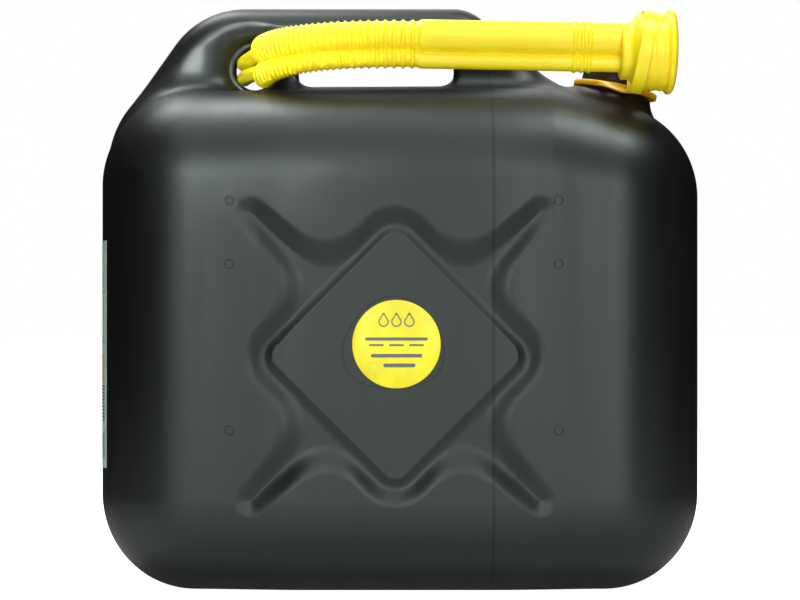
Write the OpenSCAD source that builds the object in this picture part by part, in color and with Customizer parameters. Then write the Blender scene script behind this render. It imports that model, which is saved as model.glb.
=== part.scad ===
// Fuel can: a blow-moulded tank with a screw cap and a flexible pouring spout.
// The spout lies across the handle, with its tip in the stow hole and its
// collar held to the neck by a tether.
// X runs along the can, Y through it, Z up. The origin is the middle of the base.

/* [Tank] */
// Length of the tank, end to end
tank_w = 388; // [376:1:396]
// Depth of the tank, front to back
tank_d = 188; // [184:1:192]
// Height of the shoulder that the handle stands on
shoulder_h = 325; // [322:1:328]
// Height of the handle's top
handle_h = 380.5; // [376:0.5:384]
// Corner radius of the tank's ends and base
corner_r = 62; // [56:1:64]
// Corner radius of the shoulder beside the neck
shoulder_r = 50; // [46:1:54]
// Thickness of the moulded wall
wall = 2.6; // [2:0.1:3]

/* [Handle] */
// Thickness of the handle, front to back
handle_t = 40; // [36:1:44]
// Left end of the grip opening
grip_x1 = -68; // [-70:1:-64]
// Right end of the grip opening
grip_x2 = 36; // [30:1:38]
// Height of the grip opening's top
grip_top = 354; // [350:1:356]
// Distance of the stow hole from the middle
stow_x = -95.5; // [-97:0.5:-94]
// Height of the stow hole
stow_z = 337; // [336:0.5:338]
// Radius of the stow hole
stow_r = 12.5; // [12:0.1:13]

/* [Front panel] */
// Depth of the star-shaped recess
relief_depth = 4.5; // [3.5:0.5:6]
// Height of the diamond over the recess
diamond_rise = 1.8; // [1:0.1:2.5]
// Half the diagonal of the raised diamond
diamond_r = 79; // [74:1:82]
// Reach of the recess arms from the middle
arm_reach = 90; // [84:1:92]
// Radius of the round front sticker
sticker_r = 27.5; // [24:0.5:30]

/* [Neck and cap] */
// Distance of the neck from the middle
neck_x = 143; // [141:1:145]
// Height of the seat under the tether ring
neck_z = 324.7; // [323:0.1:326]
// Lean of the neck away from the handle
neck_tilt = 11.5; // [10:0.5:13]
// Outside radius of the neck
neck_r = 18.4; // [18:0.1:18.6]
// Radius of the neck's mouth
mouth_r = 15.5; // [14:0.1:16]
// Outside radius of the cap
cap_r = 23.2; // [23:0.1:23.6]
// Height of the cap
cap_h = 24; // [23:0.5:25]
// Number of grip ribs round the cap
cap_ribs = 24; // [18:1:30]

/* [Spout] */
// Distance of the spout's axis in front of the middle
spout_y = -54; // [-56:0.5:-53]
// Distance of the collar's open end from the middle
flange_x = 175; // [174:0.5:177]
// Height of the collar's middle
flange_z = 345.3; // [344.5:0.1:346]
// Rise of the spout towards its tip, in degrees
spout_rise = 1.1; // [0.8:0.1:1.4]
// Outside radius of the collar's bead
flange_r = 27; // [26.4:0.1:27.2]
// Outside radius of the pouring channel
pour_r = 11; // [10.6:0.1:11.2]
// Outside radius of the vent channel
vent_r = 5.6; // [5.3:0.1:5.8]
// Number of folds in the bellows
folds = 24; // [20:1:26]

/* [Hidden] */
$fn = 48;

front_y = -tank_d / 2;
panel = [-3, 152];              // middle of the front relief, X and Z
plateau_y = front_y + relief_depth - diamond_rise;  // face of the diamond
dish_r = 48;                    // ball that shapes the dishes, and its middle's distance
dish_out = 59;
shell_fn = 32;
shell_reach = cos(180 / shell_fn);  // keeps a faceted sphere at its full height

// Tank corners as [x, z, radius]: two at the base, one left, two right
CORNERS = [[-tank_w / 2 + corner_r, corner_r, corner_r],
           [tank_w / 2 - corner_r, corner_r, corner_r],
           [-tank_w / 2 + corner_r, shoulder_h - corner_r - 2, corner_r],
           [95, shoulder_h - shoulder_r, shoulder_r],
           [tank_w / 2 - shoulder_r, shoulder_h - shoulder_r - 20, shoulder_r]];

// Handle outline as arcs: [x, z, radius, first angle, last angle]
HANDLE_ARCS = [[-104, handle_h - 57, 57, 90, 145],
               [-144.5, 287, 45, 145, 180],
               [35.5, handle_h - 28, 28, 47.7, 90],
               [90, 300, 30, 0, 47.7]];

thread_r = neck_r + 1.1;        // crest of the neck's thread beads
neck_top = 20;                  // mouth's height over the seat
seat_r = 23;                    // round seat under the tether ring
ring_r = 27.8;
ring_t = 1.8;
cap_bottom = 3.4;                // gap under the cap for its press travel
lip_h = 1.4;
cap_wall = 1.4;
inner_r = cap_r - cap_wall - 0.4;
inner_bore = thread_r + 0.4;
inner_bottom = cap_bottom + lip_h + 0.3;

// Places along the spout's axis, from the collar's open end
collar_end = 35;
band_s = 13.5;
band_w = 8;
cup_r = 24.5;
sleeve_r = 18.2;
tube_end = 161;
pour_x = 7.1;
vent_x = -7.8;
tube_wall = 1.5;
flex_up = 2.4;                  // middle of both channels over the collar's axis
collar_bore = 20.3;
seal_r = 19.8;

// Middle line of the bellows, and of the tip beyond it
flex_start = [flange_x - tube_end * cos(spout_rise), spout_y,
              flange_z + tube_end * sin(spout_rise) + flex_up];
BEND = [flex_start, flex_start + [-60, 0, 1], [-80, -57, 347.5], [-90, -40, 343]];
TIP = [[-90.3, -39.5, 342.8], [-95, -32.3, 340.6], [-100, -22, 338.5], [-101, -4, 337.4]];
flex_size = [15.6, 11];         // half height and half width of the bellows
tip_size = [11, 8];
tip_end_size = [8.5, 4.4];

function bezier(p, t) = pow(1 - t, 3) * p[0] + 3 * t * pow(1 - t, 2) * p[1]
                        + 3 * t * t * (1 - t) * p[2] + pow(t, 3) * p[3];
function unit(v) = v / norm(v);
function heading(p, t) = unit(pow(1 - t, 2) * (p[1] - p[0]) + 2 * t * (1 - t) * (p[2] - p[1])
                              + t * t * (p[3] - p[2]));

// One oval ring of points across a path, with half height a and half width b
function ring(p, t, a, b, sides) =
    let (o = bezier(p, t), h = heading(p, t), side = unit(cross([0, 0, 1], h)),
         up = cross(h, side))
    [for (k = [0 : sides - 1]) o + up * a * cos(k * 360 / sides) + side * b * sin(k * 360 / sides)];

// Closed tube through a list of rings
module skin(rings) {
    n = len(rings[0]);
    m = len(rings);
    polyhedron(
        points = [for (r = rings) for (q = r) q],
        faces = concat(
            [[for (k = [0 : n - 1]) n - 1 - k]],
            [for (i = [0 : m - 2]) for (k = [0 : n - 1])
                [i * n + k, i * n + (k + 1) % n, (i + 1) * n + (k + 1) % n, (i + 1) * n + k]],
            [[for (k = [0 : n - 1]) (m - 1) * n + k]]));
}

module at_neck() translate([neck_x, 0, neck_z]) rotate([0, neck_tilt, 0]) children();

// Spout frame: +Z runs from the collar's open end to the tip, +X is up
module at_spout() translate([flange_x, spout_y, flange_z])
    rotate([0, spout_rise - 90, 0]) children();

// Space inside the tank's outside shape, shrunk by inset
module tank_space(inset) hull()
    for (c = CORNERS, side = [-1, 1])
        translate([c[0], side * (tank_d / 2 - c[2]), c[1]])
        sphere(r = (c[2] - inset) / shell_reach, $fn = shell_fn);

module handle_space(inset) hull()
    for (a = HANDLE_ARCS, angle = [a[3], a[4]], part = [0, 0.5])
        let (turn = angle == a[3] ? a[3] + part * (a[4] - a[3]) : a[4])
        translate([a[0] + (a[2] - handle_t / 2) * cos(turn), 0,
                   a[1] + (a[2] - handle_t / 2) * sin(turn)])
        sphere(r = (handle_t / 2 - inset) / shell_reach, $fn = shell_fn);

// Grip opening, grown by grow
module grip_cut(grow) translate([0, handle_t, 0]) rotate([90, 0, 0])
    linear_extrude(2 * handle_t) offset(r = grow, $fn = 24) offset(r = 10, $fn = 24)
    translate([grip_x1 + 10, shoulder_h + 10]) square([grip_x2 - grip_x1 - 20, grip_top - shoulder_h - 20]);

module stow_cut(grow) translate([stow_x, handle_t, stow_z]) rotate([90, 0, 0])
    cylinder(r = stow_r + grow, h = 2 * handle_t);

// Outline of the recess: a rounded diamond with four arms
module star_outline() {
    offset(r = 14) rotate(45) square(2 * (diamond_r - 5) / sqrt(2), center = true);
    for (a = [45, 135]) rotate(a) offset(r = 9) square([2 * arm_reach * sqrt(2) - 18, 4], center = true);
}

module diamond_outline() offset(r = 8) rotate(45)
    square(2 * (diamond_r - 12) / sqrt(2), center = true);

// Star recess in the front and back panels, with its diamond less deep
module panel_relief(depth, grow) for (side = [0, 1]) mirror([0, side, 0])
    translate([panel[0], front_y + depth, panel[1]]) rotate([90, 0, 0]) {
        linear_extrude(depth + 1) offset(r = grow) difference() {
            star_outline();
            diamond_outline();
        }
        translate([0, 0, diamond_rise]) linear_extrude(depth + 1) diamond_outline();
    }

// Shallow dishes that lead into the stow hole from both sides
module dishes(grow) for (side = [-1, 1]) translate([stow_x, side * dish_out, stow_z]) sphere(r = dish_r + grow);

module tank_body() color([0.06, 0.06, 0.065]) difference() {
    union() {
        difference() {
            tank_space(0);
            panel_relief(relief_depth, 0);
        }
        difference() {
            handle_space(0);
            grip_cut(0);
            dishes(0);
        }
        at_neck() {
            translate([0, 0, -26]) cylinder(r1 = seat_r + 8, r2 = seat_r, h = 26);
            cylinder(r = neck_r, h = neck_top);
            for (z = [9, 14]) translate([0, 0, z]) cylinder(r = thread_r, h = 1.8);
        }
    }
    difference() {
        tank_space(wall);
        panel_relief(relief_depth + wall, wall);
    }
    difference() {
        handle_space(wall);
        grip_cut(wall);
        stow_cut(wall);
        dishes(wall);
    }
    stow_cut(0);
    at_neck() translate([0, 0, -34]) cylinder(r = mouth_r, h = 60);
}

module front_sticker() color([0.95, 0.86, 0.02])
    translate([0.8 + panel[0], plateau_y, 158]) rotate([90, 0, 0]) cylinder(r = sticker_r, h = 0.3);

// Printed label wrapped round the left end
module end_label() color([0.62, 0.75, 0.62]) translate([0, 0, 78]) linear_extrude(146)
    intersection() {
        difference() {
            end_outline(0.2);
            end_outline(0);
        }
        translate([-tank_w / 2 - 1, -60]) square([40, 120]);
    }

module end_outline(grow) hull() for (side = [-1, 1])
    translate([-tank_w / 2 + corner_r, side * (tank_d / 2 - corner_r)])
    circle(r = corner_r + grow, $fn = 96);

// Ribbed shell that the hand presses and turns, with a lip that keeps the inner cap in
module cap_outer() color([0.05, 0.05, 0.055]) at_neck() translate([0, 0, cap_bottom]) difference() {
    union() {
        cylinder(r = cap_r - 0.7, h = cap_h);
        for (k = [0 : cap_ribs - 1]) rotate(k * 360 / cap_ribs)
            translate([cap_r - 0.9, 0, 0]) cylinder(r = 0.9, h = cap_h - 2);
    }
    translate([0, 0, -1]) cylinder(r = inner_r - 0.4, h = lip_h + 2);
    translate([0, 0, lip_h]) cylinder(r = inner_r + 0.4, h = cap_h - lip_h - cap_wall);
}

module cap_inner() color([0.1, 0.1, 0.1]) at_neck() difference() {
    translate([0, 0, inner_bottom]) cylinder(r = inner_r, h = neck_top + 2.2 - inner_bottom);
    cylinder(r = inner_bore, h = neck_top + 0.8);
}

module cap_seal() color([0.25, 0.25, 0.26]) at_neck() translate([0, 0, neck_top + 0.1])
    cylinder(r = inner_bore - 0.1, h = 0.55);

// Flat ring round the neck, a short strap and a band round the spout's collar
module tether() color([0.93, 0.68, 0.03]) {
    at_neck() difference() {
        cylinder(r = ring_r, h = ring_t + 1.6);
        translate([0, 0, ring_t]) cylinder(r = ring_r - 1.5, h = 4);
        translate([0, 0, -1]) cylinder(r = thread_r + 0.5, h = 4);
    }
    hull() {
        at_neck() translate([9, -26.4, 0.2]) cylinder(r = 1, h = 1.4, $fn = 16);
        at_neck() translate([17, -20.8, 0.2]) cylinder(r = 1, h = 1.4, $fn = 16);
        at_spout() rotate(148) translate([cup_r + 1.1, 0, band_s + 1]) cylinder(r = 0.9, h = band_w - 2, $fn = 16);
    }
    at_spout() translate([0, 0, band_s]) difference() {
        cylinder(r = cup_r + 2.2, h = band_w);
        translate([0, 0, -1]) cylinder(r = cup_r + 0.3, h = band_w + 2);
    }
}

module channels(grow, start, length) {
    translate([pour_x, 0, start]) cylinder(r = pour_r + grow, h = length);
    translate([vent_x, 0, start]) cylinder(r = vent_r + grow, h = length);
}

module spout_collar() color([0.96, 0.86, 0.02]) at_spout() difference() {
    rotate_extrude() polygon([[collar_bore, 0], [flange_r - 3, 0], [flange_r, 2.2], [flange_r, 4.6],
        [cup_r, 6.2], [cup_r, 22], [sleeve_r, 29.2], [sleeve_r, collar_end],
        [0, collar_end], [0, collar_end - 2], [16, collar_end - 2], [16, 29.5],
        [16.8, 26], [seal_r + 0.1, 26], [seal_r + 0.1, 24], [collar_bore, 24]]);
    channels(-tube_wall, collar_end - 5, 10);
}

module spout_seal() color([0.3, 0.3, 0.3]) at_spout() translate([0, 0, 24.1]) difference() {
    cylinder(r = seal_r, h = 1.8);
    translate([0, 0, -1]) cylinder(r = 16.4, h = 4);
}

module spout_tube() color([0.97, 0.88, 0.03]) at_spout() difference() {
    union() {
        channels(0, collar_end, tube_end - collar_end);
        translate([vent_x, -2, collar_end]) cube([pour_x - vent_x, 4, tube_end - collar_end]);
        for (k = [0 : 2]) channels(1.2, 52 + 4.6 * k, 2.4);
    }
    channels(-tube_wall, collar_end - 1, tube_end - collar_end + 2);
}

// One wall of the bellows, inset from its outside
function fold_rings(inset, first, last, steps) = [for (i = [0 : steps])
    let (t = first + (last - first) * i / steps, wave = 0.7 * cos(360 * folds * min(1, max(0, t))),
         end = max(0, (t - 0.93) / 0.07))
    ring(BEND, t, flex_size[0] * (1 - 0.28 * end) + wave - inset,
         flex_size[1] * (1 - 0.2 * end) + wave - inset, 20)];

module spout_bellows() color([0.97, 0.88, 0.03]) difference() {
    skin(fold_rings(0, 0, 1, folds * 4));
    skin(fold_rings(2.4, -0.01, 1.01, 24));
}

function tip_rings(inset, first, last) = [for (i = [0 : 6])
    let (t = first + (last - first) * i / 6, u = min(1, max(0, t)))
    ring(TIP, t, tip_size[0] + u * (tip_end_size[0] - tip_size[0]) - inset,
         tip_size[1] + u * (tip_end_size[1] - tip_size[1]) - inset, 24)];

module spout_tip() color([0.95, 0.75, 0.03]) difference() {
    skin(tip_rings(0, 0, 1));
    skin(tip_rings(1.5, -0.05, 1.05));
}

tank_body();
front_sticker();
end_label();
cap_outer();
cap_inner();
cap_seal();
tether();
spout_collar();
spout_seal();
spout_tube();
spout_bellows();
spout_tip();
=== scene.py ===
"""Black fuel can with a yellow pouring spout stowed across its handle.

Lengths are millimetres in the shape functions and metres in Blender (MM).
X runs along the can, -Y is its front, Z is up, and the origin is the middle of the base.
"""
import math

import bmesh
import bpy
import numpy as np
import openvdb
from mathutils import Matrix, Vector


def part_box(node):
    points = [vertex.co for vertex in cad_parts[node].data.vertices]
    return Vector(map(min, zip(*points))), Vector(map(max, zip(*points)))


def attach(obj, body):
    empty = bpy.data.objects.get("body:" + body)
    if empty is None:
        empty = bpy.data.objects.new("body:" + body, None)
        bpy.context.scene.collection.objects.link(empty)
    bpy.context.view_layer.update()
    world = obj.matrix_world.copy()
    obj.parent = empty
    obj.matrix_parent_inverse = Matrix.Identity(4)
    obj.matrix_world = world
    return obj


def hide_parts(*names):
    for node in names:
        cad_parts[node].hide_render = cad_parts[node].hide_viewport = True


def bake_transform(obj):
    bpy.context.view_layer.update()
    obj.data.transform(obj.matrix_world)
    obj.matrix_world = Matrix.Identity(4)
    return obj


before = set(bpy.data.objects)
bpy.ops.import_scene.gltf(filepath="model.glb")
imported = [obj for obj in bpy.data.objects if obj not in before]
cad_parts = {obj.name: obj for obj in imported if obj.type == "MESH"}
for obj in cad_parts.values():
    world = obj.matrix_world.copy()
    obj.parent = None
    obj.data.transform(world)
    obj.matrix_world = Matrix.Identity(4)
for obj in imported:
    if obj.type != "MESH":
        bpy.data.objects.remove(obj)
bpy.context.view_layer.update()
MM = 0.001

# ---------------------------------------------------------------- sizes, in millimetres
TANK_DEPTH = 187.0
EDGE_R = 62.0                     # rounding between the panels and the ends
FALL = (6.0, 58.0, 142.0)         # how far the panels curve back, from and to what x
TOE = (8.0, 57.7)                 # how far the panels swell out at the base, and up to what z
# Tank outline as circles (x, z, radius), anticlockwise seen from the front
BODY = [(-131.8, 62, 62), (131.8, 62, 62), (131.8, 253.5, 62), (95, 275, 50), (-131.8, 261, 62)]
# Handle outline, with its foot inside the tank
RIDGE = [(-143.2, 286.9, 45), (90, 300, 30), (35.5, 352.2, 28), (-102.7, 323.2, 57)]
RIDGE_HALF = 20.0                 # half the handle's thickness
RIDGE_EDGE = 17.0                 # rounding of its edges
RIDGE_FOOT = 16.0                 # fillet between the handle and the tank
# Grip opening: middle x, z, half sizes and corner radius
GRIP = (-16.0, 338.0, 52.0, 15.5, 11.0)
GRIP_EDGE = 9.0
# Stow hole: middle x, z and radius, and how far from the middle plane it is cut
STOW = (-96.2, 339.3, 12.6)
HOLE_REACH = 26.0
# Round the hole, by its own radius and depth: a dish (depth and radius), a funnel (radius,
# at what depth, growth with depth, cosine of that slope) and a lip (radius, depth, half thickness)
DISH = (59.0, 48.0)
FUNNEL = (13.0, 4.0, 0.55, 0.876)
LIP = (15.4, 9.2, 2.1)
# Star relief: middle x and z, half size of its middle, reach of its arms, half side of the diamond
PANEL = (-3.0, 152.0)
STAR = (71.0, 134.5)
DIAMOND = 56.8
RECESS = 4.5
RISE_UP = 1.8                     # height of the diamond over the recess
ACROSS = np.array([0.0, 1.0, 0.0])
NECK = np.array([143.0, 0.0, 324.7])         # where the neck's axis meets its seat
LEAN = math.radians(11.5)
NECK_AXIS = np.array([math.sin(LEAN), 0.0, math.cos(LEAN)])
NECK_SIDE = np.array([math.cos(LEAN), 0.0, -math.sin(LEAN)])
SEAT_R = 23.5                     # radius of the boss under the cap
SEAT_FILLET = 18.0
SPOUT = np.array([175.0, -54.0, 345.3])      # middle of the collar's open end
RISE = math.radians(1.1)
SPOUT_AXIS = np.array([-math.cos(RISE), 0.0, math.sin(RISE)])
SPOUT_UP = np.array([math.sin(RISE), 0.0, math.cos(RISE)])


# ---------------------------------------------------------------- distance functions
def tangent(a, b):
    """Outward normal of the line touching circles a and b, which follow anticlockwise."""
    step = np.subtract(b[:2], a[:2])
    length = np.hypot(*step)
    u = step / length
    lean = (a[2] - b[2]) / length
    return u * lean + np.array([u[1], -u[0]]) * math.sqrt(1 - lean * lean)


def hull_distance(x, z, circles):
    """Signed distance to the convex outline round a ring of circles."""
    count = len(circles)
    normals = [tangent(circles[i], circles[(i + 1) % count]) for i in range(count)]
    best = np.full(np.broadcast(x, z).shape, -1e9, np.float32)
    for i, (cx, cz, r) in enumerate(circles):
        before, after = normals[i - 1], normals[i]
        vx, vz = x - cx, z - cz
        best = np.maximum(best, after[0] * vx + after[1] * vz - r)
        inside = (before[0] * vz - before[1] * vx >= 0) & (vx * after[1] - vz * after[0] >= 0)
        best = np.where(inside, np.maximum(best, np.hypot(vx, vz) - r), best)
    return best


def box_distance(x, z, half_x, half_z, corner):
    """Signed distance to a rectangle with rounded corners."""
    qx, qz = np.abs(x) - half_x + corner, np.abs(z) - half_z + corner
    return np.hypot(np.maximum(qx, 0), np.maximum(qz, 0)) + np.minimum(np.maximum(qx, qz), 0) - corner


def slab(outline, depth, edge):
    """Joins an outline distance and a depth distance with a rounded edge."""
    q, w = outline + edge, depth + edge
    return np.minimum(np.maximum(q, w), 0) + np.hypot(np.maximum(q, 0), np.maximum(w, 0)) - edge


def join(a, b, k):
    """Two shapes joined, with a fillet of about k between them."""
    h = np.clip(0.5 + 0.5 * (b - a) / k, 0, 1)
    return b + (a - b) * h - k * h * (1 - h)


def cut(a, b, k):
    """Shape a with shape b taken out of it."""
    return -join(-a, b, k)


def smooth(value, low, high):
    """Soft step from 0 at low to 1 at high."""
    t = np.clip((value - low) / (high - low), 0, 1)
    return t * t * (3 - 2 * t)


def panel_recess(x, z):
    """Depth of the star-shaped recess, with its raised diamond."""
    dx, dz = x - PANEL[0], z - PANEL[1]
    u, v = (dx + dz) / math.sqrt(2), (dz - dx) / math.sqrt(2)
    star = box_distance(u, v, STAR[0], STAR[0], 24)
    for along, across in ((u, v), (v, u)):
        taper = 10.5 - 3.5 * smooth(np.abs(along), 85, 135)
        star = join(star, box_distance(along, across, STAR[1], taper, 7), 30)
    diamond = box_distance(u, v, DIAMOND, DIAMOND, 9)
    shallow = 1 - 0.35 * smooth(np.maximum(np.abs(u), np.abs(v)), 105, 135)
    rise = np.clip((7.0 - diamond) / 7.0, 0, 1) ** 1.6
    return RECESS * smooth(-star, -4.0, 10.0) * shallow - RISE_UP * rise


def tank_distance(x, y, z):
    """Signed distance to the tank's outside, without the neck."""
    depth = np.abs(y)
    outline = hull_distance(x, z, BODY)
    fall = FALL[0] * smooth(np.abs(x), FALL[1], FALL[2]) - TOE[0] * np.clip(1 - z / TOE[1], 0, 1) ** 1.5
    body = slab(outline, depth + panel_recess(x, z) + fall - TANK_DEPTH / 2, EDGE_R)
    ridge = slab(hull_distance(x, z, RIDGE), depth - RIDGE_HALF, RIDGE_EDGE)
    grip = box_distance(x - GRIP[0], z - GRIP[1], GRIP[2], GRIP[3], GRIP[4])
    ridge = cut(ridge, grip, GRIP_EDGE)
    around = np.hypot(x - STOW[0], z - STOW[1])
    ridge = cut(ridge, np.hypot(around, depth - DISH[0]) - DISH[1], 5)
    tank = join(body, ridge, RIDGE_FOOT)
    funnel = (around - FUNNEL[0] - FUNNEL[2] * (depth - FUNNEL[1])) * FUNNEL[3]
    tank = cut(tank, np.maximum(funnel, depth - HOLE_REACH), 3)
    tank = join(tank, np.hypot(around - LIP[0], depth - LIP[1]) - LIP[2], 1.5)
    tank = cut(tank, np.maximum(around - STOW[2], depth - HOLE_REACH), 2)
    axial = (x - NECK[0]) * NECK_AXIS[0] + (z - NECK[2]) * NECK_AXIS[2]
    radial = np.hypot((x - NECK[0]) * NECK_SIDE[0] + (z - NECK[2]) * NECK_SIDE[2], y)
    boss = slab(radial - SEAT_R, np.abs(axial + 20) - 20, 1.5)
    return join(tank, boss, SEAT_FILLET)


# ---------------------------------------------------------------- mesh helpers
def make_object(name, points, faces, material, shade=True):
    """Mesh object from points in millimetres."""
    mesh = bpy.data.meshes.new(name)
    mesh.from_pydata([tuple(p) for p in np.asarray(points, float) * MM], [], faces)
    mesh.update()
    if shade:
        mesh.shade_smooth()
    obj = bpy.data.objects.new(name, mesh)
    bpy.context.scene.collection.objects.link(obj)
    mesh.materials.append(material)
    return obj


def grid_faces(rows, columns, closed_rows):
    """Faces between rows of points, each row a closed ring."""
    faces = []
    for i in range(rows if closed_rows else rows - 1):
        for k in range(columns):
            a, b = i * columns + k, i * columns + (k + 1) % columns
            c = (i + 1) % rows * columns + (k + 1) % columns
            faces.append((a, b, c, (i + 1) % rows * columns + k))
    return faces


def tube(name, rings, material, closed=False):
    """Skin through a list of rings of points, capped unless the last ring meets the first."""
    rows, columns = len(rings), len(rings[0])
    faces = grid_faces(rows, columns, closed)
    if not closed:
        faces.append(tuple(reversed(range(columns))))
        faces.append(tuple(range((rows - 1) * columns, rows * columns)))
    obj = make_object(name, np.concatenate(rings), faces, material)
    clean = bmesh.new()
    clean.from_mesh(obj.data)
    bmesh.ops.recalc_face_normals(clean, faces=clean.faces)
    clean.to_mesh(obj.data)
    clean.free()
    return obj


def lathe_rings(profile, origin, axis, side, cross, turns=96, shape=None):
    """Rings of a turned profile of (along, radius); shape(along, radius, angle) may change the radius."""
    angles = np.linspace(0, 2 * math.pi, turns, endpoint=False)
    rings = []
    for along, radius in profile:
        r = np.full(turns, radius) if shape is None else shape(along, radius, angles)
        rings.append(origin + along * axis + np.outer(r * np.cos(angles), side)
                     + np.outer(r * np.sin(angles), cross))
    return rings


def rounded(points, radius=0.6, steps=4):
    """Profile with its corners rounded by short arcs."""
    points = [np.array(p, float) for p in points]
    out = [points[0]]
    for a, b, c in zip(points, points[1:], points[2:]):
        r = min(radius, np.linalg.norm(a - b) * 0.45, np.linalg.norm(c - b) * 0.45)
        start = b + (a - b) / np.linalg.norm(a - b) * r
        end = b + (c - b) / np.linalg.norm(c - b) * r
        for i in range(steps + 1):
            t = i / steps
            out.append((1 - t) ** 2 * start + 2 * t * (1 - t) * b + t * t * end)
    out.append(points[-1])
    return out


def refined(profile, step, wanted=lambda a, b: True):
    """Profile with points added along its lines, where wanted says so."""
    dense = []
    for a, b in zip(profile, profile[1:]):
        steps = max(1, int(np.linalg.norm(b - a) / step)) if wanted(a, b) else 1
        dense += [a + (b - a) * k / steps for k in range(steps)]
    return dense + [profile[-1]]


def merged(parts):
    """Points and faces of one mesh from those of several."""
    points, faces = [], []
    for more, more_faces in parts:
        faces += [tuple(len(points) + k for k in face) for face in more_faces]
        points += more
    return points, faces


# ---------------------------------------------------------------- materials
SEAM = (0.0582, 0.0009)           # x and half width of the moulding seam, in metres


def principled(name, color, roughness, **inputs):
    """Material and its shader, with any further inputs by name."""
    material = bpy.data.materials.new(name)
    material.use_nodes = True
    shader = material.node_tree.nodes["Principled BSDF"]
    shader.inputs["Base Color"].default_value = (*color, 1)
    shader.inputs["Roughness"].default_value = roughness
    for key, value in inputs.items():
        shader.inputs[key.replace("_", " ")].default_value = value
    return material, shader


class Graph:
    """Short helpers for wiring nodes."""

    def __init__(self, material):
        self.tree = material.node_tree

    def node(self, kind, **inputs):
        node = self.tree.nodes.new(kind)
        for key, value in inputs.items():
            node.inputs[key.replace("_", " ")].default_value = value
        return node

    def link(self, a, b):
        self.tree.links.new(a, b)

    def coords(self, scale=(1, 1, 1)):
        where = self.node("ShaderNodeTexCoord")
        mapping = self.node("ShaderNodeMapping", Scale=scale)
        self.link(where.outputs["Object"], mapping.inputs["Vector"])
        return mapping.outputs["Vector"]

    def noise(self, scale, detail=3.0, roughness=0.5, stretch=(1, 1, 1)):
        node = self.node("ShaderNodeTexNoise", Scale=scale, Detail=detail, Roughness=roughness)
        self.link(self.coords(stretch), node.inputs["Vector"])
        return node.outputs["Fac"]

    def span(self, value, low, high, out_low, out_high):
        node = self.node("ShaderNodeMapRange")
        for slot, number in zip(("From Min", "From Max", "To Min", "To Max"),
                                (low, high, out_low, out_high)):
            node.inputs[slot].default_value = number
        self.link(value, node.inputs["Value"])
        return node.outputs["Result"]

    def bump(self, height, strength, distance, after=None):
        node = self.node("ShaderNodeBump", Strength=strength, Distance=distance)
        self.link(height, node.inputs["Height"])
        if after is not None:
            self.link(after, node.inputs["Normal"])
        return node.outputs["Normal"]

    def ramp(self, value, low_color, high_color, low=0.35, high=0.65):
        node = self.node("ShaderNodeValToRGB")
        node.color_ramp.elements[0].position = low
        node.color_ramp.elements[0].color = (*low_color, 1)
        node.color_ramp.elements[1].position = high
        node.color_ramp.elements[1].color = (*high_color, 1)
        self.link(value, node.inputs["Fac"])
        return node.outputs["Color"]


def tank_material():
    """Black plastic with a fine grain, and a less glossy line at the seam."""
    material, shader = principled("tank_plastic", (0.005, 0.006, 0.006), 0.42,
                                  Specular_Tint=(0.86, 1, 0.95, 1))
    g = Graph(material)
    cloud = g.noise(9, 4, 0.55)
    g.link(g.ramp(cloud, (0.0028, 0.0032, 0.0032), (0.0046, 0.0051, 0.0051)), shader.inputs["Base Color"])
    streak = g.noise(30, 4, 0.6, (1, 1, 0.06))
    g.link(g.span(streak, 0.3, 0.7, 0.36, 0.46), shader.inputs["Roughness"])
    place = g.node("ShaderNodeSeparateXYZ")
    g.link(g.coords(), place.inputs["Vector"])
    seam = g.node("ShaderNodeMath")
    seam.operation = "COMPARE"
    seam.inputs[1].default_value, seam.inputs[2].default_value = SEAM
    g.link(place.outputs["X"], seam.inputs[0])
    g.link(g.span(seam.outputs["Value"], 0, 1, 0.5, 0.36), shader.inputs["Specular IOR Level"])
    grain = g.bump(g.noise(1500, 2, 0.6), 0.22, 0.0002)
    peel = g.bump(g.noise(120, 3, 0.5), 0.10, 0.0006, grain)
    g.link(g.bump(g.noise(14, 2, 0.5, (1, 1, 0.5)), 0.12, 0.004, peel), shader.inputs["Normal"])
    return material


def spout_material(name, light, dark):
    """Soft yellow plastic that lets a little light through."""
    material, shader = principled(name, light, 0.34)
    shader.inputs["Subsurface Weight"].default_value = 0.5
    shader.inputs["Subsurface Radius"].default_value = (0.003, 0.0025, 0.0006)
    shader.inputs["Subsurface Scale"].default_value = 1.0
    g = Graph(material)
    g.link(g.ramp(g.noise(40, 3, 0.5), dark, light), shader.inputs["Base Color"])
    g.link(g.span(g.noise(160, 3, 0.6), 0.3, 0.7, 0.28, 0.42), shader.inputs["Roughness"])
    g.link(g.bump(g.noise(420, 2, 0.5), 0.10, 0.0003), shader.inputs["Normal"])
    return material


def plain_material(name, color, roughness, grain=600, strength=0.15):
    """Opaque material with slight changes of colour and roughness."""
    material, shader = principled(name, color, roughness)
    g = Graph(material)
    low = tuple(c * 0.82 for c in color)
    g.link(g.ramp(g.noise(60, 3, 0.5), low, color), shader.inputs["Base Color"])
    g.link(g.span(g.noise(200, 2, 0.5), 0.3, 0.7, roughness * 0.88, roughness * 1.12),
           shader.inputs["Roughness"])
    g.link(g.bump(g.noise(grain, 2, 0.5), strength, 0.0002), shader.inputs["Normal"])
    return material


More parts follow.
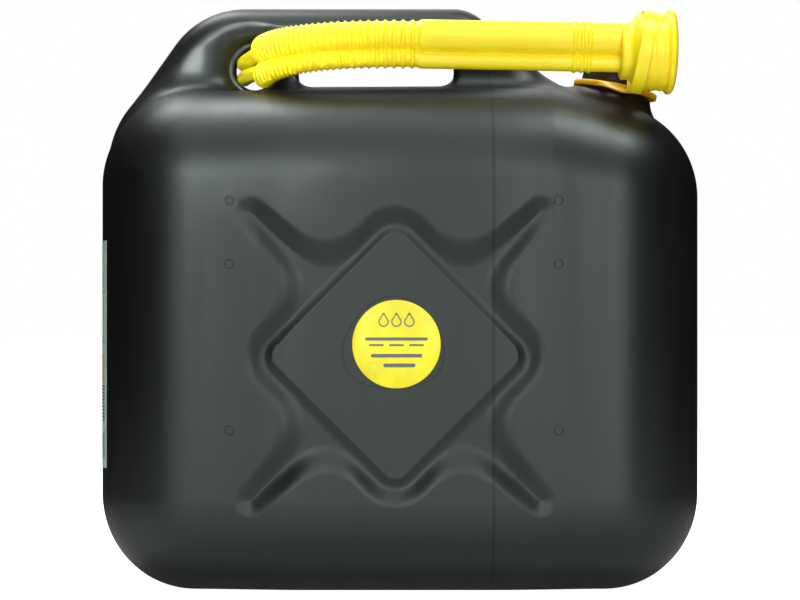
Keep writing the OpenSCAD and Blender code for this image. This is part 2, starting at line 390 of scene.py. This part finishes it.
# Materials
TANK = tank_material()
SPOUT_YELLOW = spout_material("spout_plastic", (0.99, 0.79, 0.012), (0.98, 0.76, 0.010))
# The tether's ring and tabs are the spout's own plastic, painted darker and more orange as painted shade for
# the shadow they lie in
STRAP_SHADED = spout_material("strap_plastic_shaded", (0.96, 0.52, 0.008), (0.94, 0.46, 0.006))
CAP = plain_material("cap_plastic", (0.016, 0.016, 0.017), 0.38)
RUBBER = plain_material("seal_rubber", (0.035, 0.035, 0.036), 0.75)
STICKER = plain_material("sticker_vinyl", (0.90, 0.80, 0.005), 0.38, 900, 0.06)
PRINT = plain_material("print_ink", (0.10, 0.13, 0.13), 0.45, 900, 0.06)
LABEL = plain_material("label_film", (0.56, 0.74, 0.60), 0.42, 500, 0.10)
LABEL_WHITE = plain_material("label_white", (0.80, 0.86, 0.86), 0.42, 500, 0.10)
LABEL_ORANGE = plain_material("label_orange", (0.62, 0.22, 0.08), 0.42, 500, 0.10)
LABEL_GREY = plain_material("label_grey", (0.25, 0.30, 0.29), 0.42, 500, 0.10)
LABEL_INK = plain_material("label_ink", (0.03, 0.045, 0.04), 0.45, 900, 0.06)


# ---------------------------------------------------------------- tank
def tank_gradient(points, step=0.25):
    """Outward slope of tank_distance at rows of points."""
    parts = []
    for axis in range(3):
        shift = np.zeros(3)
        shift[axis] = step
        high, low = (points + shift).T, (points - shift).T
        parts.append((tank_distance(*high) - tank_distance(*low)) / (2 * step))
    return np.stack(parts, axis=1)


def make_tank():
    """Tank skin from a voxel grid, then moved onto the exact distance function."""
    cell = 1.5
    low = np.array([-198.0, -99.0, -5.0])
    count = np.ceil(np.array([396.0, 198.0, 392.0]) / cell).astype(int)
    x, y, z = (low[i] + cell * np.arange(count[i], dtype=np.float32) for i in range(3))
    field = tank_distance(x[:, None, None], y[None, :, None].astype(np.float32), z[None, None, :])
    field = np.clip(field, -4 * cell, 4 * cell).astype(np.float32)
    grid = openvdb.FloatGrid(4 * cell)
    grid.copyFromArray(field)
    points, triangles, quads = grid.convertToPolygons(0.0, 0.0)
    points = points * cell + low
    faces = [tuple(f) for f in quads.tolist()] + [tuple(f) for f in triangles.tolist()]
    obj = make_object("fuel_tank", points, faces, TANK)
    thin = obj.modifiers.new("thin", "DECIMATE")
    thin.ratio = 0.40
    bpy.context.view_layer.update()
    reduced = bpy.data.meshes.new_from_object(obj.evaluated_get(bpy.context.evaluated_depsgraph_get()))
    obj.modifiers.clear()
    obj.data = reduced
    mesh = obj.data
    where = np.empty(len(mesh.vertices) * 3, np.float32)
    mesh.vertices.foreach_get("co", where)
    where = where.reshape(-1, 3).astype(float) / MM
    for _ in range(2):
        slope = tank_gradient(where)
        size = np.maximum((slope ** 2).sum(1), 0.2)
        where -= slope * (tank_distance(*where.T) / size)[:, None]
    mesh.vertices.foreach_set("co", (where * MM).astype(np.float32).ravel())
    normals = tank_gradient(where)
    normals /= np.linalg.norm(normals, axis=1)[:, None]
    mesh.shade_smooth()
    mesh.update()
    mesh.normals_split_custom_set_from_vertices([tuple(n) for n in normals])
    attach(obj, "tank")
    return obj


THREAD_TURNS = 1.6
THREAD_PITCH = 4.5
THREAD_AT = (7.5, 18.2)           # where the thread starts along the neck, and its radius


def neck_out(angle):
    """Direction out from the neck's axis, with 0 to the right and a quarter turn to the back."""
    return NECK_SIDE * math.cos(angle) + ACROSS * math.sin(angle)


def neck_rings(profile, turns=96):
    """Rings of a profile turned about the neck's axis."""
    return lathe_rings(profile, NECK, NECK_AXIS, NECK_SIDE, ACROSS, turns)


def make_neck():
    """Neck with its opening, and the thread on its outside."""
    outside = [(-3, 19.6), (0, 18.9), (3, 18.4), (20, 18.4), (20, 15.5), (-20, 15.5)]
    neck = tube("tank_neck", neck_rings(rounded(outside, 0.8)), TANK)
    samples = 72
    rings = []
    for i in range(int(THREAD_TURNS * samples) + 1):
        angle = 2 * math.pi * i / samples
        grow = min(1, i / 10, (THREAD_TURNS * samples - i) / 10 + 0.05)
        radial = neck_out(angle)
        rise = THREAD_AT[0] + THREAD_PITCH * angle / (2 * math.pi)
        middle = NECK + NECK_AXIS * rise + radial * THREAD_AT[1]
        rings.append([middle + radial * r * grow + NECK_AXIS * a for r, a in
                      ((-0.3, -1.5), (0.9, -0.8), (1.25, -0.4), (1.25, 0.4), (0.9, 0.8), (-0.3, 1.5))])
    thread = tube("neck_thread", rings, TANK)
    for piece in (neck, thread):
        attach(piece, "tank")


def face_y(x, z):
    """Depth of the front panel's surface at places in it."""
    outer, inner = np.full(len(x), -100.0), np.full(len(x), -80.0)
    for _ in range(24):
        middle = (outer + inner) / 2
        outside = tank_distance(x, middle, z) > 0
        outer, inner = np.where(outside, middle, outer), np.where(outside, inner, middle)
    return outer


def raised_line(name, x, z, half, height):
    """Thin moulded line along a closed loop on the front panel."""
    y = face_y(x, z)
    run_x, run_z = np.roll(x, -1) - np.roll(x, 1), np.roll(z, -1) - np.roll(z, 1)
    length = np.hypot(run_x, run_z)
    rings = [[(x[k] + a * run_z[k] / length[k], y[k] - b, z[k] - a * run_x[k] / length[k])
              for a, b in ((-half, -0.2), (-half * 0.6, height * 0.8), (0, height),
                           (half * 0.6, height * 0.8), (half, -0.2))] for k in range(len(x))]
    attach(tube(name, rings, TANK, closed=True), "tank")


MARK_R = 2.7


def make_moulded_marks():
    """Outline moulded behind the sticker, and three small rings on each side of the star."""
    turn = np.linspace(0, 2 * math.pi, 120, endpoint=False)
    up, down = np.maximum(np.sin(turn), 0), np.maximum(-np.sin(turn), 0)
    raised_line("moulded_outline", -4 + 31.5 * np.cos(turn) * (1 - 0.2 * up),
                158 + 31.5 * up - 26 * down ** 0.6, 0.3, 0.16)
    small = turn[::4]
    for side, x in (("left", -106.0), ("right", 98.5)):
        for k, z in enumerate((249.0, 209.5, 106.0)):
            raised_line(f"mark_{side}_{k}", x + MARK_R * np.cos(small), z + MARK_R * np.sin(small), 0.4, 0.3)


tank = make_tank()
make_neck()
make_moulded_marks()
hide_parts("tank_body")


# ---------------------------------------------------------------- sticker and label
STICKER_UP, LABEL_UP = 1.6, 1.2   # how far each sits over its place in the CAD
LABEL_REACH = 52.5                # along the girth, to each side of the middle of the end
PANEL_LIFT, INK_LIFT = 0.14, 0.16            # of the label's prints over the tank


def disc(name, center, radius, thickness, material, sides=96):
    """Thin round sheet facing -Y, with a softened edge; center is (x, y of its back, z)."""
    rings = []
    for r, t in ((radius, 0), (radius, thickness * 0.6), (radius - 0.3, thickness),
                 (radius * 0.6, thickness), (radius * 0.2, thickness)):
        angles = np.linspace(0, 2 * math.pi, sides, endpoint=False)
        rings.append(np.stack([center[0] + r * np.cos(angles), np.full(sides, center[1] - t),
                               center[2] + r * np.sin(angles)], axis=1))
    return tube(name, rings, material)


def make_sticker():
    """Round sticker with three drops over plain bars."""
    low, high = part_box("front_sticker")
    middle = (low + high) / 2 / MM + Vector((0, 0, STICKER_UP))
    back = high.y / MM
    radius = (high.x - low.x) / 2 / MM
    sticker = disc("round_sticker", (middle.x, back + 0.15, middle.z), radius, 0.4, STICKER)
    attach(sticker, "tank")
    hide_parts("front_sticker")
    face = back - 0.25
    prints = []
    for x, z, half_w, half_h in ((0, 3.2, 19.5, 1.0), (-12.5, -0.6, 4.6, 0.6), (0, -0.6, 4.6, 0.6),
                                 (12.5, -0.6, 4.6, 0.6), (0, -7.2, 16, 1.1), (1.8, -13.2, 10, 1.2)):
        prints.append(bar(middle.x + x, middle.z + z, half_w, half_h, face))
    for x in (-8.0, 0.0, 8.0):
        prints.append(drop_outline(middle.x + x, middle.z + 14, 3.3, face))
    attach(make_object("sticker_print", *merged(prints), PRINT, shade=False), "tank")


def bar(x, z, half_w, half_h, face, steps=8):
    """Flat bar with round ends, 0.05 mm proud of the face."""
    outline = []
    for sign, start in ((1, -90), (-1, 90)):
        for k in range(steps + 1):
            angle = math.radians(start + 180 * k / steps)
            outline.append((x + sign * (half_w - half_h) + half_h * math.cos(angle),
                            z + half_h * math.sin(angle)))
    count = len(outline)
    points = [(px, y, pz) for y in (face, face - 0.05) for px, pz in outline]
    faces = [tuple(range(count, 2 * count)), tuple(reversed(range(count)))]
    faces += [(k, (k + 1) % count, count + (k + 1) % count, count + k) for k in range(count)]
    return points, faces


def drop_outline(x, z, radius, face, width=0.8, steps=40):
    """Outline of a drop: a circle drawn up to a point."""
    loops = []
    for r in (radius, radius - width):
        loop = []
        for k in range(steps):
            angle = 2 * math.pi * k / steps
            pull = max(0.0, math.sin(angle)) ** 6 * 0.7
            loop.append((x + r * math.cos(angle) * (1 - 0.25 * max(0.0, math.sin(angle)) ** 2),
                         z + r * (math.sin(angle) + pull)))
        loops.append(loop)
    points = [(px, y, pz) for y in (face, face - 0.05) for loop in loops for px, pz in loop]
    outer, inner, outer_top, inner_top = (steps * k for k in range(4))
    faces = []
    for k in range(steps):
        n = (k + 1) % steps
        faces.append((outer_top + k, outer_top + n, inner_top + n, inner_top + k))
        faces.append((outer + n, outer + k, inner + k, inner + n))
        faces.append((outer + k, outer + n, outer_top + n, outer_top + k))
        faces.append((inner + n, inner + k, inner_top + k, inner_top + n))
    return points, faces


def wrap(distance, lift):
    """Point on the tank's left end, at a distance along its girth from the middle of the end."""
    flat = TANK_DEPTH / 2 - EDGE_R - FALL[0]
    sign = -1 if distance < 0 else 1
    over = max(0.0, abs(distance) - flat)
    angle = over / EDGE_R
    x = BODY[0][0] - (EDGE_R + lift) * math.cos(angle)
    y = sign * (min(abs(distance), flat) + (EDGE_R + lift) * math.sin(angle))
    return x, y


def end_patch(d0, d1, z0, z1, lift, thickness, steps=28):
    """Thin sheet wrapped on the left end; returns its points and faces."""
    front, back = [], []
    for k in range(steps + 1):
        d = d0 + (d1 - d0) * k / steps
        for store, height in ((front, lift + thickness), (back, lift)):
            x, y = wrap(d, height)
            store.append([(x, y, z) for z in (z0, z1)])
    points = [p for row in front + back for p in row]
    n = steps + 1
    faces = []
    for k in range(steps):
        a, b = 2 * k, 2 * (k + n)
        faces += [(a, a + 1, a + 3, a + 2), (b + 2, b + 3, b + 1, b),
                  (a, a + 2, b + 2, b), (a + 3, a + 1, b + 1, b + 3)]
    faces += [(0, 2 * n, 2 * n + 1, 1), (2 * n - 2, 2 * n - 1, 4 * n - 1, 4 * n - 2)]
    return points, faces


def end_print(name, material, patches):
    """Printed areas of one colour on the end label, each (d0, d1, z0, z1, lift)."""
    prints = [end_patch(*patch, 0.03, 14) for patch in patches]
    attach(make_object(name, *merged(prints), material, shade=False), "tank")


def make_label():
    """Label on the left end, printed with plain bars, a coloured field and blocks."""
    low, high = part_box("end_label")
    z0, z1 = low.z / MM + LABEL_UP, high.z / MM + LABEL_UP
    sheet = end_patch(-LABEL_REACH, LABEL_REACH, z0, z1, 0.02, 0.12)
    label = make_object("end_label_sheet", *sheet, LABEL, shade=False)
    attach(label, "tank")
    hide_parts("end_label")
    end_print("label_panel", LABEL_WHITE, [(-50, 50, z0 + 26, z0 + 80, PANEL_LIFT)])
    end_print("label_picture", LABEL_ORANGE, [(-47, 47, z0 + 54, z0 + 73, INK_LIFT)])
    ink = [(-49, 49, z, z + 0.8, INK_LIFT) for z in (z1 - 33, z0 + 81)]
    for row in range(11):
        z = z0 + 30 + 2.2 * row
        ink += [(start, start + 8 + 10 * abs(math.sin(1.9 * row + start)), z, z + 0.9, INK_LIFT)
                for start in (-48, -26, -3, 21)]
    for row in range(5):
        z = z1 - 12 - 4 * row
        ink.append((-36, 14 + 17 * abs(math.sin(1.3 * row + 0.5)), z, z + 1.4, INK_LIFT))
    end_print("label_print", LABEL_INK, ink)
    blocks = [(-48 + 4.4 * k, -45.7 + 4.4 * k, z0 + 6, z0 + 22, INK_LIFT) for k in range(22)]
    end_print("label_block", LABEL_GREY, blocks)


make_sticker()
make_label()


# ---------------------------------------------------------------- cap
CAP_RIBS = 30
RIB_DEPTH = 0.55
LUGS = 8
FIRST_LUG = math.radians(-98)


def make_cap():
    """Outer cap with grip ribs, a ring on its top and eight lugs under its rim."""
    def ribs(along, radius, angle):
        wave = 0.5 - 0.5 * np.cos(CAP_RIBS * angle)
        grip = RIB_DEPTH * wave * smooth(along, 6.5, 8) * (1 - smooth(along, 25, 26.5))
        return radius - grip if radius > 21 and along > 4 else np.full(len(angle), radius)

    outside = [(4.6, 21.2), (4.6, 22.6), (6.0, 23.2), (24.5, 22.9), (27.0, 21.4), (27.4, 12),
               (26.8, 10.5), (26.8, 0.3)]
    inside = [(25.8, 0.3), (25.8, 21.2)]
    profile = refined(rounded(outside, 0.7), 1.2) + inside
    rings = lathe_rings(profile, NECK, NECK_AXIS, NECK_SIDE, ACROSS, 240, ribs)
    shell = tube("cap_shell_outer", rings, CAP, closed=True)
    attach(shell, "cap_shell")
    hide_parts("cap_outer")
    for k in range(LUGS):
        lug = cap_lug(FIRST_LUG + 2 * math.pi * k / LUGS)
        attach(lug, "cap_shell")


def cap_lug(angle):
    """Short ratchet lug under the cap's rim."""
    half = math.radians(6)
    points = []
    for along in (3.6, 5.2):
        for r in (21.4, 22.9):
            for a in (angle - half, angle + half):
                points.append(NECK + NECK_AXIS * along + neck_out(a) * r)
    faces = [(0, 1, 3, 2), (4, 6, 7, 5), (0, 4, 5, 1), (2, 3, 7, 6), (0, 2, 6, 4), (1, 5, 7, 3)]
    lug = make_object("cap_lug", points, faces, CAP, shade=False)
    soften = lug.modifiers.new("soften", "BEVEL")
    soften.width = 0.0003
    soften.segments = 2
    return lug


make_cap()
for node, material in (("cap_inner", CAP), ("cap_seal", RUBBER), ("spout_seal", RUBBER)):
    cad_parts[node].data.materials.clear()
    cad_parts[node].data.materials.append(material)


# ---------------------------------------------------------------- spout
def spout_point(along):
    """Point on the collar's axis, from its open end."""
    return SPOUT + SPOUT_AXIS * along


COLLAR_PITCH = 5.5
COLLAR_FOLD = 0.55                # height of the folds


def thread_fold(along, radius, angle):
    """Shallow folds that the collar's inner thread leaves on its outside."""
    if radius < 23.9 or not 6.6 < along < 21:
        return np.full(len(angle), radius)
    phase = (along - COLLAR_PITCH * angle / (2 * math.pi)) / COLLAR_PITCH
    wave = (0.5 + 0.5 * np.cos(2 * math.pi * phase)) ** 2
    fade = smooth(along, 6.6, 8.0) * (1 - smooth(along, 18, 21))
    return radius + COLLAR_FOLD * wave * fade


def make_collar():
    """Cup that screws on the neck, open at its right end."""
    outside = [(0.0, 20.6), (0.0, 23.6), (0.7, 25.4), (2.0, 26.7), (3.6, 27.0), (4.8, 26.4), (5.6, 24.9),
               (6.6, 24.4), (23.4, 24.4), (25.2, 22.2), (27.8, 19.0), (29.6, 18.1), (33.6, 18.0),
               (34.4, 16.5), (34.6, 0.4)]
    inside = [(32.1, 0.4), (32.1, 15.6), (29.5, 15.9), (26.2, 16.8), (26.1, 20.1), (24.0, 20.2),
              (23.8, 20.5)]
    profile = refined(rounded(outside + inside, 0.7), 0.7, lambda a, b: b[0] < 24 and a[1] > 22)
    rings = lathe_rings(profile, SPOUT, SPOUT_AXIS, SPOUT_UP, ACROSS, 144, thread_fold)
    collar = tube("collar_cup", rings, SPOUT_YELLOW, closed=True)
    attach(collar, "spout")
    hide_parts("spout_collar")


def two_circle_ring(center, up, side, a1, r1, a2, r2, sides=72, blend=1.2):
    """Closed outline round two circles at heights a1 and a2, joined with a soft waist."""
    angles = np.linspace(0, 2 * math.pi, sides, endpoint=False)
    middle = (a1 - r1 + a2 + r2) / 2
    reach = []
    for offset, r in ((a1 - middle, r1), (a2 - middle, r2)):
        along = offset * np.cos(angles)
        under = r * r - (offset * np.sin(angles)) ** 2
        far = np.where(under > 0, along + np.sqrt(np.maximum(under, 0)), 0)
        reach.append(np.where(far > 0, far, 0))
    radius = -join(-reach[0], -reach[1], blend)
    radius = np.maximum(radius, 0.35 * min(r1, r2))
    return (center + np.outer(middle + radius * np.cos(angles), up)
            + np.outer(radius * np.sin(angles), side))


def bezier(points, t):
    """Point at t on a curve with four control points."""
    a, b, c, d = (np.array(p, float) for p in points)
    return ((1 - t) ** 3 * a + 3 * t * (1 - t) ** 2 * b + 3 * t * t * (1 - t) * c + t ** 3 * d)


TUBE_END = 161.0                  # along the collar's axis
TUBE_RIBS = (54.4, 59.0, 63.6)    # places of the three raised rings round the tube
# Curves of the bellows and of the tip, as control points
BEND = [spout_point(TUBE_END), spout_point(TUBE_END + 60), (-80, -56, 345), (-89, -39, 340.6)]
TIP = [(-86, -44, 341.2), (-93, -35, 340), (-100.2, -20, 339.2), (-103.2, -6, 338.8)]
TIP_WALL = 1.2
FOLDS = 29
FOLD_SAMPLES = 10                 # rings of points in each fold
FOLD_HEIGHT = (1.5, 0.7)          # at the start of the bellows, and how much less at their end
CLOSING = (0.955, 0.045)          # where the skin starts to close on the tips, and over how much
POUR = (7.1, 11.0)                # height over the collar's axis and radius of each channel
VENT = (-7.8, 5.6)
# Name, height over the path at its start and end, and radius of each nozzle
NOZZLES = (("tip_pour", 6.4, 4.9, 5.2), ("tip_vent", -6.4, -5.2, 5.0))


def tube_profile(along):
    """(upper height, radius, lower height, radius) of the smooth channels."""
    ridge = sum(math.exp(-((along - s) / 1.15) ** 2) for s in TUBE_RIBS)
    return POUR[0], POUR[1] + 1.0 * ridge, VENT[0], VENT[1] + 1.1 * ridge


def fold(phase):
    """Pointed crests with round valleys, from 0 to 1."""
    return (1 - abs(math.sin(math.pi * phase))) ** 1.15


def path_frame(points, t):
    """Place, side and up direction on a curve."""
    heading = bezier(points, min(1, t + 0.01)) - bezier(points, max(0, t - 0.01))
    heading /= np.linalg.norm(heading)
    side = np.cross(heading, (0, 0, 1))
    side /= np.linalg.norm(side)
    return bezier(points, t), side, np.cross(side, heading)


def make_spout_tube():
    """Smooth channels and bellows as one skin, bent round towards the tip."""
    rings = []
    for along in np.concatenate([np.arange(31, 50, 0.75), np.arange(50, 66, 0.4),
                                 np.arange(66, 156, 8), np.arange(156, TUBE_END, 1.0)]):
        a1, r1, a2, r2 = tube_profile(along)
        rings.append(two_circle_ring(spout_point(along), SPOUT_UP, ACROSS, a1, r1, a2, r2))
    steps = FOLDS * FOLD_SAMPLES
    for i in range(steps + 1):
        t = i / steps
        here, side, up = path_frame(BEND, t)
        up = up - 0.25 * t ** 4 * np.cross(up, side)
        start = min(1, t / 0.02)
        wave = (FOLD_HEIGHT[0] - FOLD_HEIGHT[1] * t) * start * (fold(t * FOLDS) - 0.75)
        late = max(0.0, (t - CLOSING[0]) / CLOSING[1])
        closing = math.sqrt(max(0.0, 1 - late * late))
        r1 = (POUR[1] - 0.4 * start + wave) * (0.45 + 0.55 * closing) * (1 - 0.10 * t * t)
        r2 = (VENT[1] + 1.3 * start + wave) * (0.45 + 0.55 * closing) * (1 + 0.2 * t ** 4)
        rings.append(two_circle_ring(here, up, side, POUR[0] - 0.1 * start, r1,
                                     VENT[0] + start * (1.3 - 2.4 * t ** 3), r2, blend=0.8))
    body = tube("spout_channels", rings, SPOUT_YELLOW)
    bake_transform(body)
    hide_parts("spout_tube", "spout_bellows")


def make_tip():
    """Two open nozzles that reach into the stow hole."""
    for name, first, last, radius in NOZZLES:
        outer, inner = [], []
        for i in range(25):
            t = i / 24
            here, side, up = path_frame(TIP, t)
            offset = first + (last - first) * float(smooth(np.float64(t), 0, 0.7))
            angles = np.linspace(0, 2 * math.pi, 40, endpoint=False)
            for store, r in ((outer, radius), (inner, radius - TIP_WALL)):
                store.append(here + np.outer(offset + r * np.cos(angles), up)
                             + np.outer(r * np.sin(angles), side))
        piece = tube(name, outer + inner[::-1], SPOUT_YELLOW, closed=True)
        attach(piece, "spout_end")
    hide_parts("spout_tip")


make_collar()
make_spout_tube()
make_tip()


# ---------------------------------------------------------------- tether
BAND_AT = 20.5                    # from the collar's open end to the middle of the band
BAND_R = 25.8
BAND_LEAN = math.radians(10.0)
STRAP_HALF = 4.1                  # half the width of the band and the tabs
LANDING_R = 27.2                  # from the neck's axis to where the tabs meet the ring
TABS = ((-0.55, 1.0), (0.3, 0.8))            # turn about the neck in radians, and width scale


def ribbon(name, path, widths, half_width, half_thick, material, closed=False):
    """Flat strap along a path; widths gives the direction of its width, and scales it, at each point."""
    corner = half_thick * 0.8
    far_w, far_t = half_width - corner, half_thick - corner
    corners = [(far_w, far_t), (-far_w, far_t), (-far_w, -far_t), (far_w, -far_t)]
    outline = []
    for quarter, (cx, cy) in enumerate(corners):
        for k in range(4):
            angle = math.radians(90 * quarter + 30 * k)
            outline.append((cx + corner * math.cos(angle), cy + corner * math.sin(angle)))
    rings = []
    count = len(path)
    for i, (p, w) in enumerate(zip(path, widths)):
        ahead = path[(i + 1) % count] if closed or i < count - 1 else path[i]
        behind = path[i - 1] if closed or i > 0 else path[i]
        along = ahead - behind
        along /= np.linalg.norm(along)
        scale = np.linalg.norm(w)
        w = w - along * np.dot(w, along)
        w /= np.linalg.norm(w)
        thick = np.cross(along, w)
        rings.append(np.array([p + w * a * scale + thick * b for a, b in outline]))
    return tube(name, rings, material, closed=closed)


def make_tether():
    """Ring under the cap, band round the collar, and two tabs between them."""
    profile = [(0.1, 20.4), (0.1, 27.4), (0.5, 27.9), (3.3, 27.9), (3.6, 27.6), (3.6, 26.8), (3.3, 26.5),
               (1.8, 26.3), (1.7, 20.7), (1.4, 20.4)]
    # The ring takes the painted-shade orange copy of the spout's plastic
    ring = tube("tether_ring", neck_rings(profile, 120), STRAP_SHADED, closed=True)
    middle = np.array([SPOUT[0] - BAND_AT, SPOUT[1], SPOUT[2]])
    rise = np.array([math.sin(BAND_LEAN), 0, math.cos(BAND_LEAN)])
    width = np.array([math.cos(BAND_LEAN), 0, -math.sin(BAND_LEAN)])
    path, widths = [], []
    for k in range(120):
        angle = 2 * math.pi * k / 120
        path.append(middle + (rise * math.cos(angle) + ACROSS * math.sin(angle)) * BAND_R)
        widths.append(width)
    band = ribbon("tether_band", path, widths, STRAP_HALF, 0.8, SPOUT_YELLOW, closed=True)
    tabs = []
    for turn, reach in TABS:
        foot = middle - rise * 25.9 - ACROSS * 3.0
        side = NECK_SIDE * math.sin(turn) - ACROSS * math.cos(turn)
        land = NECK + NECK_AXIS * 1.6 + side * LANDING_R
        flow = neck_out(turn)
        curve = [foot, foot + np.array([-2.5 if turn < 0 else 1.5, 9.0, -1.0]),
                 land + flow * (9.0 if turn < 0 else -7.0) - ACROSS * 3.0, land]
        steps = 24
        web = [bezier(curve, k / steps) for k in range(steps + 1)]
        turns = [(width * (1 - k / steps) + NECK_AXIS * 0.45 * k / steps) * reach for k in range(steps + 1)]
        # The tabs take the painted-shade orange copy of the spout's plastic
        tabs.append(ribbon("tether_tab", web, turns, STRAP_HALF, 0.75, STRAP_SHADED))
    for piece in [ring, band] + tabs:
        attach(piece, "spout")
    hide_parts("tether")


make_tether()


# ---------------------------------------------------------------- stage, light and camera
FLOOR_HALF = 9000                 # in millimetres
FLOOR_GLOW = 1.0
WORLD_LIGHT = 0.002
# The floor throws light back near this point only, so the ends of the can stay dark
FLOOR_MIDDLE = (0, -0.45, 0)
FLOOR_FADE = {"From Min": 0.4, "From Max": 0.85, "To Min": 0.85, "To Max": 0.02}
AIM = (0, 0, 0.2)                 # what the lights face
# Name, place, size and power of each light
LIGHTS = [("top", (0, -0.5, 1.6), (1.2, 0.8), 6),
          ("top_front", (0, -1.5, 1.5), (1.2, 0.5), 5.5),
          ("top_left", (-0.4, 0.25, 1.4), (0.4, 0.7), 10),
          ("top_right", (0.55, -0.3, 1.4), (0.4, 0.4), 7),
          ("back", (0, 0.9, 1.2), (1.2, 0.8), 5),
          ("left", (-0.52, -2.1, 0.5), (0.2, 1.2), 14),
          ("right", (0.62, -2.0, 0.5), (0.3, 1.2), 13),
          ("front", (0, -2.2, 1.2), (1.0, 0.4), 3),
          ("low", (0, -1.6, 0.05), (1.6, 0.08), 1.0)]


def area_light(name, where, target, size, power, spread=180):
    """Rectangular light facing a target; spread is the angle of its beam in degrees."""
    data = bpy.data.lights.new(name, "AREA")
    data.shape = "RECTANGLE"
    data.size, data.size_y = size
    data.energy = power
    data.spread = math.radians(spread)
    lamp = bpy.data.objects.new(name, data)
    bpy.context.scene.collection.objects.link(lamp)
    lamp.location = where
    lamp.rotation_euler = (Vector(target) - Vector(where)).to_track_quat("-Z", "Y").to_euler()


def camera_mix(tree, seen, other):
    """Uses one shader for what the camera sees directly and another for light that bounces."""
    paths = tree.nodes.new("ShaderNodeLightPath")
    mix = tree.nodes.new("ShaderNodeMixShader")
    tree.links.new(paths.outputs["Is Camera Ray"], mix.inputs["Fac"])
    tree.links.new(other, mix.inputs[1])
    tree.links.new(seen, mix.inputs[2])
    return mix.outputs["Shader"]


def make_floor():
    """Pale floor that looks evenly white to the camera."""
    material = bpy.data.materials.new("floor")
    material.use_nodes = True
    tree = material.node_tree
    tree.nodes.remove(tree.nodes["Principled BSDF"])
    lit, glow, both, dim = (tree.nodes.new(kind) for kind in (
        "ShaderNodeBsdfDiffuse", "ShaderNodeEmission", "ShaderNodeAddShader", "ShaderNodeBsdfDiffuse"))
    lit.inputs["Color"].default_value = (0.9, 0.9, 0.9, 1)
    glow.inputs["Strength"].default_value = FLOOR_GLOW
    place, apart, fade = (tree.nodes.new(kind) for kind in (
        "ShaderNodeNewGeometry", "ShaderNodeVectorMath", "ShaderNodeMapRange"))
    apart.operation = "DISTANCE"
    apart.inputs[1].default_value = FLOOR_MIDDLE
    for name, value in FLOOR_FADE.items():
        fade.inputs[name].default_value = value
    tree.links.new(place.outputs["Position"], apart.inputs[0])
    tree.links.new(apart.outputs["Value"], fade.inputs["Value"])
    tree.links.new(fade.outputs["Result"], dim.inputs["Color"])
    tree.links.new(lit.outputs[0], both.inputs[0])
    tree.links.new(glow.outputs[0], both.inputs[1])
    result = camera_mix(tree, both.outputs[0], dim.outputs[0])
    tree.links.new(result, tree.nodes["Material Output"].inputs["Surface"])
    corners = [(a * FLOOR_HALF, b * FLOOR_HALF, 0) for a, b in ((-1, -1), (1, -1), (1, 1), (-1, 1))]
    make_object("floor", corners, [(0, 1, 2, 3)], material, shade=False)


def make_lights():
    """White backdrop that gives almost no light, and the area lights."""
    world = bpy.data.worlds.new("studio")
    world.use_nodes = True
    bpy.context.scene.world = world
    tree = world.node_tree
    seen, dim = tree.nodes["Background"], tree.nodes.new("ShaderNodeBackground")
    seen.inputs["Color"].default_value = (1, 1, 1, 1)
    dim.inputs["Color"].default_value = (1, 1, 1, 1)
    dim.inputs["Strength"].default_value = WORLD_LIGHT
    result = camera_mix(tree, seen.outputs[0], dim.outputs[0])
    tree.links.new(result, tree.nodes["World Output"].inputs["Surface"])
    for name, where, size, power in LIGHTS:
        area_light(name, where, AIM, size, power)
    hole = (-0.098, -0.02, 0.335)
    area_light("tip_light", (-0.3, -1.5, 0.6), hole, (0.1, 0.1), 0.06, spread=7)


def make_camera():
    """Long lens, level with the middle of the can's height."""
    data = bpy.data.cameras.new("camera")
    data.lens = 90
    data.sensor_width = 36
    data.clip_start = 0.05
    camera = bpy.data.objects.new("camera", data)
    bpy.context.scene.collection.objects.link(camera)
    camera.location = (0, -1.333, 0.187)
    camera.rotation_euler = (math.radians(90), 0, 0)
    bpy.context.scene.camera = camera


make_floor()
make_lights()
make_camera()
bpy.context.scene.view_settings.view_transform = "Standard"
